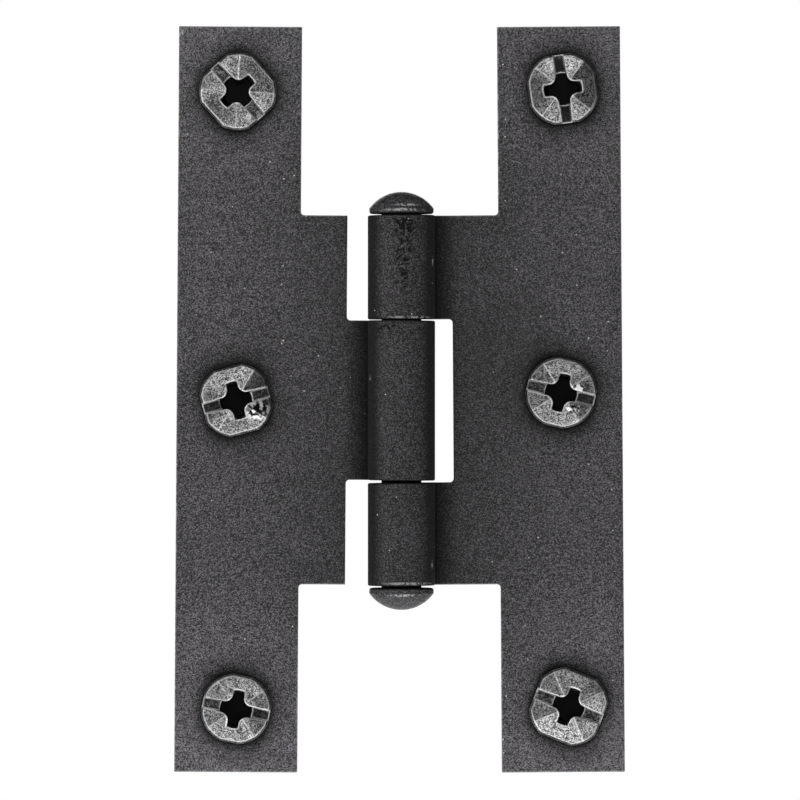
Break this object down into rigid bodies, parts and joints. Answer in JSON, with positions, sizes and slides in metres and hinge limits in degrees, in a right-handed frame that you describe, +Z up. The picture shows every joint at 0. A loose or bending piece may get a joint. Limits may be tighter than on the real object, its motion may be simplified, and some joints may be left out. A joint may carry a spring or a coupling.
{
  "type": "h hinge",
  "caption": "Surface-mounted H hinge of black coated sheet steel, with rolled knuckles on a dome-ended pin and pyramid-head wood screws.",
  "frame": {"origin": "on the mounting plane, straight behind the pin's axis and at the middle of the barrel's height", "axes": "+Z up along the pin, +Y into the door or frame that the hinge is screwed to, +X towards the right leaf seen from the front"},
  "size_m": [0.0537, 0.0255, 0.089],
  "materials": {
    "black_coating": "satin textured black coating",
    "dark_steel": "black oxide steel, scuffed on its facets"
  },
  "bodies": {
    "left_side": {"left_leaf": "black_coating", "left_leaf_screws": "dark_steel"},
    "right_side": {"right_leaf": "black_coating", "right_leaf_screws": "dark_steel", "hinge_pin": "black_coating"}
  },
  "joints": [
    {"name": "leaf_fold", "type": "hinge", "parent": "left_side", "child": "right_side", "pos_m": [0, -0.004, 0], "axis": [0, 0, -1], "range_deg": [-80, 180]}
  ]
}
